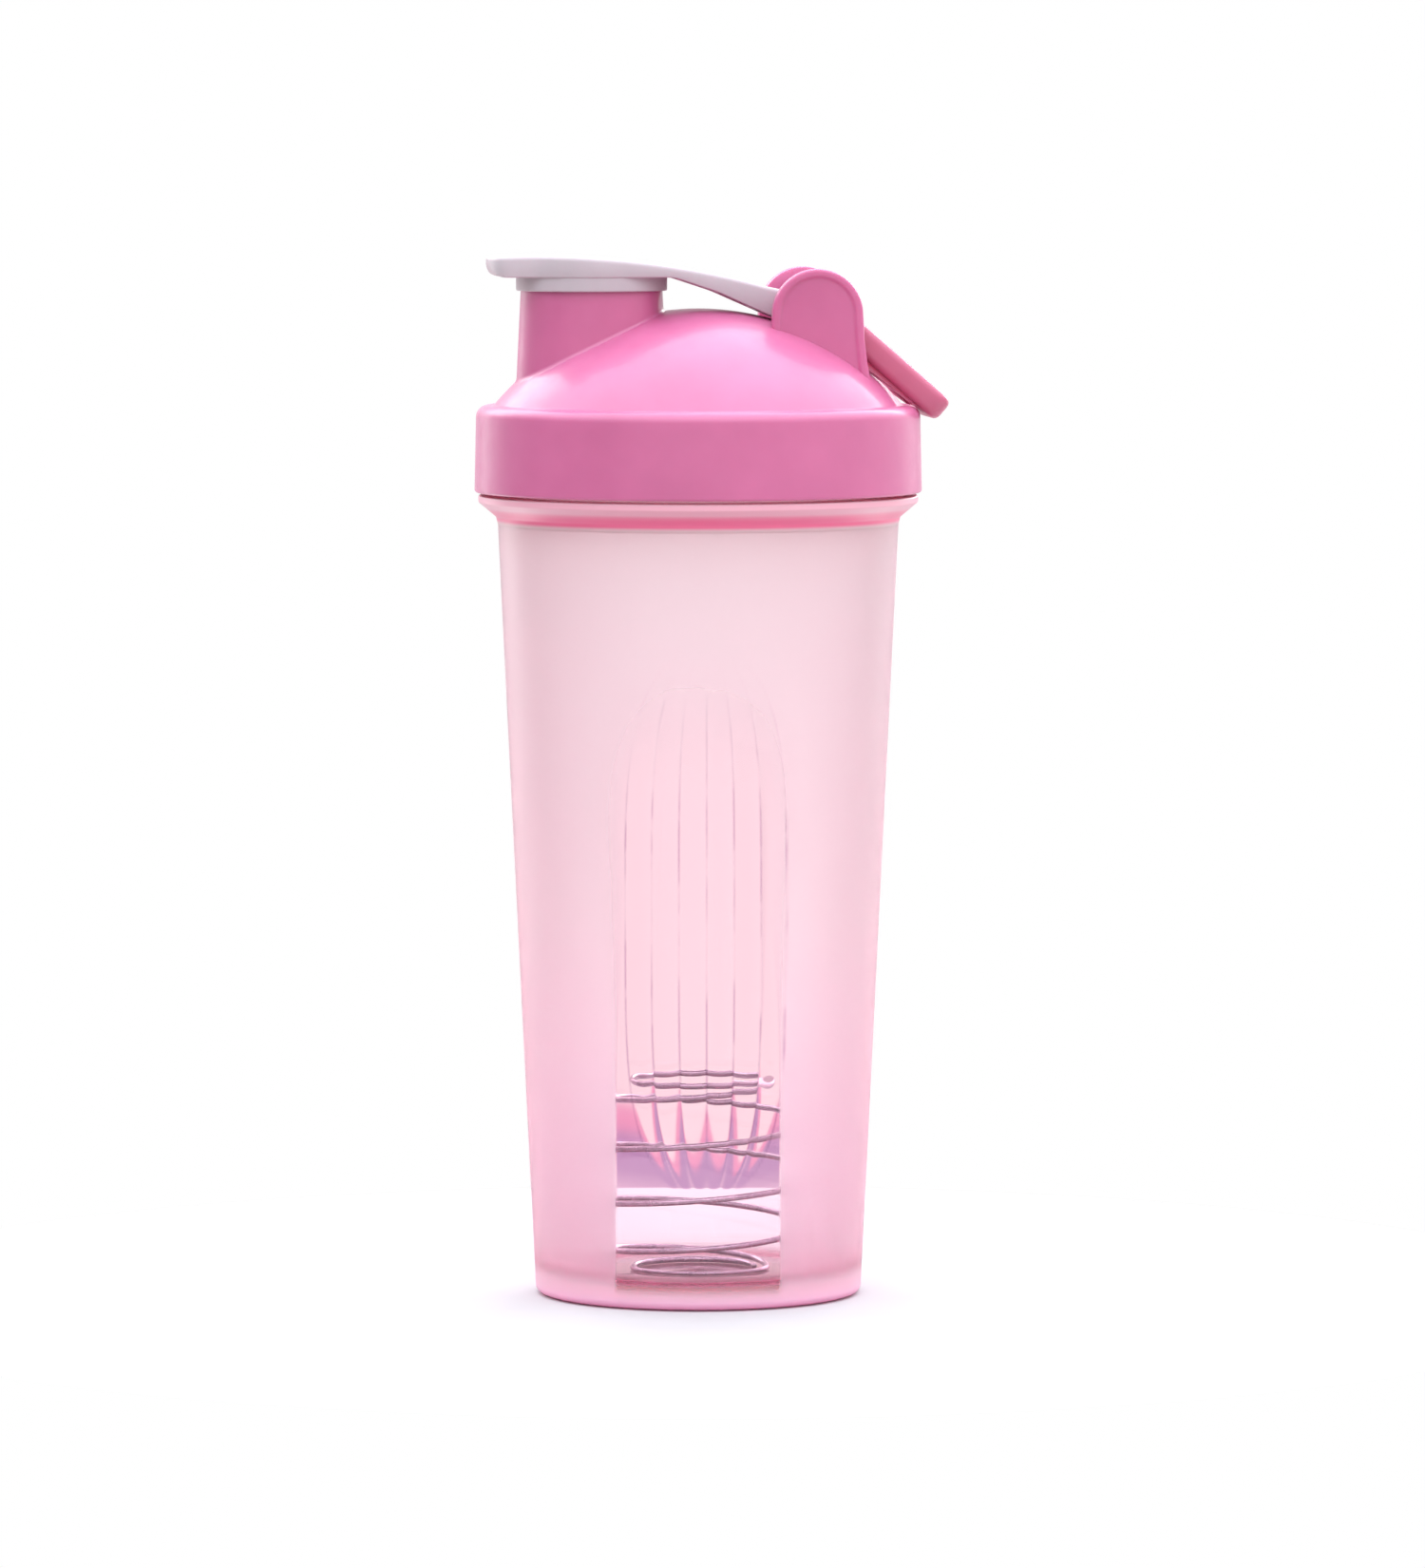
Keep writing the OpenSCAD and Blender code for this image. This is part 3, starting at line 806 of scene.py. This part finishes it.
def make_camera():
    """A long lens, slightly above the bottle's middle and 6 degrees to its left."""
    distance = 2.0
    azimuth = math.radians(-6)
    eye_height = 0.255
    aim_height = 0.107
    aside = 0.003
    data = bpy.data.cameras.new("camera")
    camera = bpy.data.objects.new("camera", data)
    bpy.context.scene.collection.objects.link(camera)
    eye = Vector((math.sin(azimuth) * distance, -math.cos(azimuth) * distance, eye_height))
    right = Vector((math.cos(azimuth), math.sin(azimuth), 0))
    target = right * aside + Vector((0, 0, aim_height))
    camera.location = eye + right * aside
    camera.rotation_mode = "QUATERNION"
    camera.rotation_quaternion = (target - camera.location).to_track_quat("-Z", "Y")
    data.sensor_width = 36
    data.lens = 219.2
    data.clip_start, data.clip_end = 0.01, 100
    bpy.context.scene.camera = camera


# ---------------------------------------------------------------- materials

class Nodes:
    """A short way to write the node tree of a material, or of the world."""

    def __init__(self, name, tree=None):
        self.tree = tree
        if tree is None:
            self.material = bpy.data.materials.new(name)
            self.material.use_nodes = True
            self.tree = self.material.node_tree
        self.tree.nodes.clear()
        self.out = self.tree.nodes.new("ShaderNodeOutputWorld" if tree else "ShaderNodeOutputMaterial")

    def add(self, kind, links=None, **values):
        node = self.tree.nodes.new("ShaderNode" + kind)
        for key, value in values.items():
            if hasattr(node, key):
                setattr(node, key, value)
            else:
                node.inputs[key.replace("_", " ")].default_value = value
        for socket, source in (links or {}).items():
            self.tree.links.new(source, node.inputs[socket])
        return node

    def link(self, source, target):
        self.tree.links.new(source, target)

    def mm(self):
        """Object position in millimetres."""
        place = self.add("TexCoord")
        scaled = self.add("VectorMath", {0: place.outputs["Object"]}, operation="SCALE")
        scaled.inputs["Scale"].default_value = 1000
        return scaled.outputs[0]

    def noise(self, where, scale, detail=3.0, roughness=0.5):
        node = self.add("TexNoise", {"Vector": where}, Scale=scale, Detail=detail, Roughness=roughness)
        return node.outputs[0]

    def ramp(self, value, low, high, to_low, to_high):
        """Maps low..high to to_low..to_high, numbers or colours."""
        if isinstance(to_low, (int, float)):
            node = self.add("MapRange", {0: value})
            for i, v in zip((1, 2, 3, 4), (low, high, to_low, to_high)):
                node.inputs[i].default_value = v
            return node.outputs[0]
        return self.mix(self.ramp(value, low, high, 0.0, 1.0), to_low, to_high)

    def stops(self, value, marks):
        """Colours along a height: a list of (millimetres, colour), in rising order."""
        low, high = marks[0][0], marks[-1][0]
        node = self.add("ValToRGB", {"Fac": self.ramp(value, low, high, 0.0, 1.0)})
        elements = node.color_ramp.elements
        while len(elements) < len(marks):
            elements.new(1.0)
        for element, (at, colour) in zip(elements, marks):
            element.position = (at - low) / (high - low)
            element.color = (*colour, 1)
        return node.outputs[0]

    def mix(self, share, first, second, blend="MIX"):
        """Mixes two colours, each a tuple or a socket."""
        mix = self.tree.nodes.new("ShaderNodeMix")
        mix.data_type = "RGBA"
        mix.blend_type = blend
        for i, value in ((0, share), (6, first), (7, second)):
            if isinstance(value, tuple):
                mix.inputs[i].default_value = (*value, 1)
            elif isinstance(value, (int, float)):
                mix.inputs[i].default_value = value
            else:
                self.link(value, mix.inputs[i])
        return mix.outputs[2]


def moulded_plastic(name, colour, rough, grain=0.02, soft=0.15, coat=0.0, inside=None):
    """Injection moulded plastic: faint cloudiness, flow marks, a fine grain and hairline scuffs; a given
    inside colour is painted light on the faces marked inside.
    """
    n = Nodes(name)
    where = n.mm()
    cloud = n.noise(where, 0.05, 3)
    speckle = n.noise(where, 3.0, 2)
    deep = tuple(c * 0.93 for c in colour)
    pale = tuple(min(1.0, c * 1.05 + 0.01) for c in colour)
    base = n.ramp(cloud, 0.3, 0.7, deep, pale)
    # Painted light: the faces marked inside take the paler inside colour.
    if inside:
        base = n.mix(n.add("Attribute", attribute_name="inside").outputs["Fac"], base, inside)
    gloss = n.ramp(n.noise(where, 0.25, 4, 0.6), 0.3, 0.7, rough - 0.04, rough + 0.06)
    scuffs = n.add("Mapping", {"Vector": where}, Scale=(0.6, 6.0, 0.6), Rotation=(0.3, 0.2, 0.5))
    hair = n.noise(scuffs.outputs[0], 1.2, 6, 0.75)
    height = n.add("Math", {0: speckle, 1: hair}, operation="ADD")
    bump = n.add("Bump", {"Height": height.outputs[0]}, Strength=0.25, Distance=grain * MM)
    shader = n.add("BsdfPrincipled", {"Base Color": base, "Roughness": gloss, "Normal": bump.outputs[0]})
    shader.inputs["IOR"].default_value = 1.49
    shader.inputs["Subsurface Weight"].default_value = soft
    shader.inputs["Subsurface Radius"].default_value = (1.0, 0.45, 0.6)
    shader.inputs["Subsurface Scale"].default_value = 2.5 * MM
    shader.inputs["Coat Weight"].default_value = coat
    shader.inputs["Coat Roughness"].default_value = 0.12
    n.link(shader.outputs[0], n.out.inputs["Surface"])
    return n.material


# Cup colour by height: painted shade line at the foot, wall deeper pink towards the foot, painted shade line
# under the flange, flange, neck
CUP_TINTS_AND_SHADE_LINES = [
    (0.4, (1.0, 0.48, 0.74)), (1.3, (1.0, 0.60, 0.80)), (2.0, (1.0, 0.62, 0.78)), (7, (1.0, 0.79, 0.89)),
    (12, (1.0, 0.88, 0.945)), (30, (1.0, 0.89, 0.95)), (80, (1.0, 0.975, 0.98)), (150, (1.0, 0.99, 0.99)),
    (162.0, (1.0, 0.97, 0.97)), (162.5, (1.0, 0.19, 0.38)), (164.5, (1.0, 0.18, 0.36)),
    (165.3, (1.0, 0.50, 0.62)), (167.7, (1.0, 0.50, 0.62)), (168.0, (1.0, 0.80, 0.86))]

# How much light passes straight into the frosted wall, and how rough it is, by height
CUP_PASSES = [(1.8, 0.35), (4.6, 0.5), (7.0, 0.9), (161.5, 0.9), (162.6, 0.25), (167.7, 0.25), (168.0, 0.9)]
CUP_FROST = [(60, 0.5), (130, 0.36), (156, 0.31)]


def greys(marks):
    """The same stops with each number as a grey."""
    return [(at, (level, level, level)) for at, level in marks]


def cup_plastic():
    """Pink plastic: frosted, clear at the window, its colour by height with painted shade lines at the foot
    and under the flange, and a painted shade line on each cusp.
    """
    n = Nodes("cup_plastic")
    where = n.mm()
    clear = n.add("Attribute", attribute_name="clear").outputs["Fac"]
    height = n.add("SeparateXYZ", {0: where}).outputs["Z"]
    even = n.stops(height, greys(CUP_FROST))
    uneven = n.ramp(n.noise(where, 0.12, 4), 0.3, 0.7, -0.01, 0.01)
    frost = n.add("Math", {0: even, 1: uneven}, operation="ADD").outputs[0]
    gloss = n.add("MapRange", {0: clear, 3: frost})
    gloss.inputs[4].default_value = 0.02
    cloud = n.ramp(n.noise(where, 0.03, 3), 0.3, 0.7, 0.0, 0.25)
    # Colour by height, with the painted shade lines at the foot and in the crease under the flange
    tint = n.stops(height, CUP_TINTS_AND_SHADE_LINES)
    frosted = n.mix(cloud, tint, (1.0, 0.96, 0.97), blend="MULTIPLY")
    body = n.mix(clear, frosted, (0.99, 0.94, 0.955))
    # Painted shade: a dark lilac line along each flute cusp, interrupted by noise.
    cusp = n.add("Attribute", attribute_name="cusp").outputs["Fac"]
    shade_breaks = n.ramp(n.noise(where, 0.07, 3), 0.42, 0.58, 0.15, 0.85)
    line = n.add("Math", {0: cusp, 1: shade_breaks}, operation="MULTIPLY").outputs[0]
    body = n.mix(line, body, (0.46, 0.27, 0.45))
    milky = n.stops(height, greys(CUP_PASSES))
    pass_through = n.add("MapRange", {0: clear, 3: milky})
    pass_through.inputs[4].default_value = 1.0
    grain = n.noise(where, 4.0, 2)
    strength = n.ramp(clear, 0.0, 1.0, 0.3, 0.0)
    bump = n.add("Bump", {"Height": grain, "Strength": strength}, Distance=0.02 * MM)
    shader = n.add("BsdfPrincipled", {
        "Base Color": body, "Roughness": gloss.outputs[0], "Normal": bump.outputs[0],
        "Transmission Weight": pass_through.outputs[0]})
    shader.inputs["IOR"].default_value = 1.49
    n.link(shader.outputs[0], n.out.inputs["Surface"])
    depth = n.add("VolumeAbsorption")
    depth.inputs["Color"].default_value = (1.0, 0.42, 0.60, 1)
    depth.inputs["Density"].default_value = 95.0
    n.link(depth.outputs[0], n.out.inputs["Volume"])
    return n.material


def steel(name, rough=0.22):
    """Drawn stainless wire: fine scratches and a little tone variation, in a lilac that is a painted pink
    reflection.
    """
    n = Nodes(name)
    where = n.mm()
    # Painted reflection: the grey steel is tinted lilac for the pink plastic round it.
    tone = n.ramp(n.noise(where, 0.4, 4), 0.3, 0.7, (0.40, 0.30, 0.38), (0.56, 0.44, 0.53))
    gloss = n.ramp(n.noise(where, 2.0, 5, 0.7), 0.3, 0.7, rough - 0.08, rough + 0.1)
    bump = n.add("Bump", {"Height": n.noise(where, 6.0, 4)}, Strength=0.2, Distance=0.01 * MM)
    shader = n.add("BsdfPrincipled", {"Base Color": tone, "Roughness": gloss, "Normal": bump.outputs[0]})
    shader.inputs["Metallic"].default_value = 1.0
    n.link(shader.outputs[0], n.out.inputs["Surface"])
    return n.material


def paint(piece, material):
    """Gives a piece one material."""
    piece.data.materials.clear()
    piece.data.materials.append(material)


# ---------------------------------------------------------------- studio

def make_studio():
    """Surroundings with no lamps: the light comes from the world, and the camera itself sees plain white."""
    bpy.context.scene.view_settings.view_transform = "Standard"
    world = bpy.data.worlds.new("studio")
    bpy.context.scene.world = world
    world.use_nodes = True
    n = Nodes("studio", world.node_tree)
    place = n.add("TexCoord")
    parts = n.add("SeparateXYZ", {0: place.outputs["Generated"]})
    front, back, left, right, below = ((level, level, level) for level in (
        FRONT_LIGHT, BACK_LIGHT, LEFT_LIGHT, RIGHT_LIGHT, FLOOR_LIGHT))
    across, ahead, rise = (parts.outputs[axis] for axis in "XYZ")
    tone = n.mix(n.ramp(ahead, 0.2, 0.85, 0.0, 1.0), front, back)
    side = n.ramp(n.add("Math", {0: across}, operation="ABSOLUTE").outputs[0], 0.3, 0.9, 0.0, 1.0)
    tone = n.mix(side, tone, n.ramp(across, -0.8, 0.8, left, right))
    tone = n.mix(n.ramp(rise, 0.25, 0.8, 0.0, 1.0), tone, tuple(TOP_LIGHT * share for share in TOP_COLOUR))
    towards = n.add("VectorMath", {0: place.outputs["Generated"]}, operation="DOT_PRODUCT")
    towards.inputs[1].default_value = WALL_DIRECTION
    ring = n.ramp(towards.outputs["Value"], 0.80, 0.90, 0.0, 1.0)
    tone = n.mix(ring, tone, RING)
    tone = n.mix(n.ramp(rise, -0.9, -0.4, 1.0, 0.0), tone, below)
    for way, level in ((BOX_LEFT, BOX_LEFT_LIGHT), (BOX_RIGHT, BOX_RIGHT_LIGHT)):
        box = n.add("VectorMath", {0: place.outputs["Generated"]}, operation="DOT_PRODUCT")
        box.inputs[1].default_value = way
        tone = n.mix(n.ramp(box.outputs["Value"], 0.955, 0.975, 0.0, 1.0), tone, (level, level, level))
    wall = n.stops(rise, [
        (-0.1300, WALL), (-0.1185, WALL), (-0.1165, BAND_FOOT), (-0.1145, BAND), (-0.1112, BAND),
        (-0.1098, BAND_TOP), (-0.1080, BAND_TOP), (-0.1070, WALL), (-0.0900, WALL)])
    tone = n.mix(n.ramp(towards.outputs["Value"], 0.95, 0.985, 0.0, 1.0), tone, wall)
    lit = n.add("Background", {"Color": tone})
    plain = n.add("Background")
    plain.inputs["Color"].default_value = (1, 1, 1, 1)
    seen = n.add("LightPath")
    both = n.add("MixShader", {0: seen.outputs["Is Camera Ray"], 1: lit.outputs[0], 2: plain.outputs[0]})
    n.link(both.outputs[0], n.out.inputs["Surface"])


def make_floor():
    """A round pale floor under the bottle."""
    n = Nodes("floor_board")
    tone = n.ramp(n.noise(n.mm(), 0.02, 4), 0.3, 0.7, (0.49, 0.45, 0.465), (0.53, 0.49, 0.505))
    shader = n.add("BsdfPrincipled", {"Base Color": tone})
    shader.inputs["Roughness"].default_value = 0.9
    shader.inputs["Specular IOR Level"].default_value = 0.1
    n.link(shader.outputs[0], n.out.inputs["Surface"])
    edge = [(FLOOR_BOARD_R * x, FLOOR_BOARD_R * y, -FLOOR_BOARD_GAP) for x, y in circle(1.0, 128)]
    board = new_piece("floor_board", edge, [tuple(range(len(edge)))], None)
    paint(board, n.material)


make_camera()
make_studio()
make_floor()

cup_material = cup_plastic()
# The lid's inner faces are paler pink: painted light inside the top of the cup.
lid_material = moulded_plastic("lid_plastic", (0.57, 0.125, 0.28), 0.36, soft=0.3, coat=0.25,
                               inside=(0.95, 0.72, 0.78))
# The cap's plastic is white; its grey-lilac colour here is painted shade with a painted pink glow from the
# spout under it.
cap_material = moulded_plastic("cap_plastic", (0.52, 0.43, 0.47), 0.4)
loop_material = moulded_plastic("loop_plastic", (0.53, 0.115, 0.21), 0.35, soft=0.5)
silicone = moulded_plastic("seal_silicone", (0.86, 0.83, 0.85), 0.6, soft=0.3)
wire_steel = steel("whisk_wire")
pin_material = steel("pin_steel", 0.3)

paint(make_cup(), cup_material)
paint(make_lid(), lid_material)
paint(make_cap(), cap_material)
paint(make_loop(), loop_material)
paint(make_whisk(), wire_steel)
paint(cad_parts["lid_gasket"], silicone)
paint(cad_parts["spout_seal"], silicone)
paint(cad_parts["hinge_pin"], pin_material)
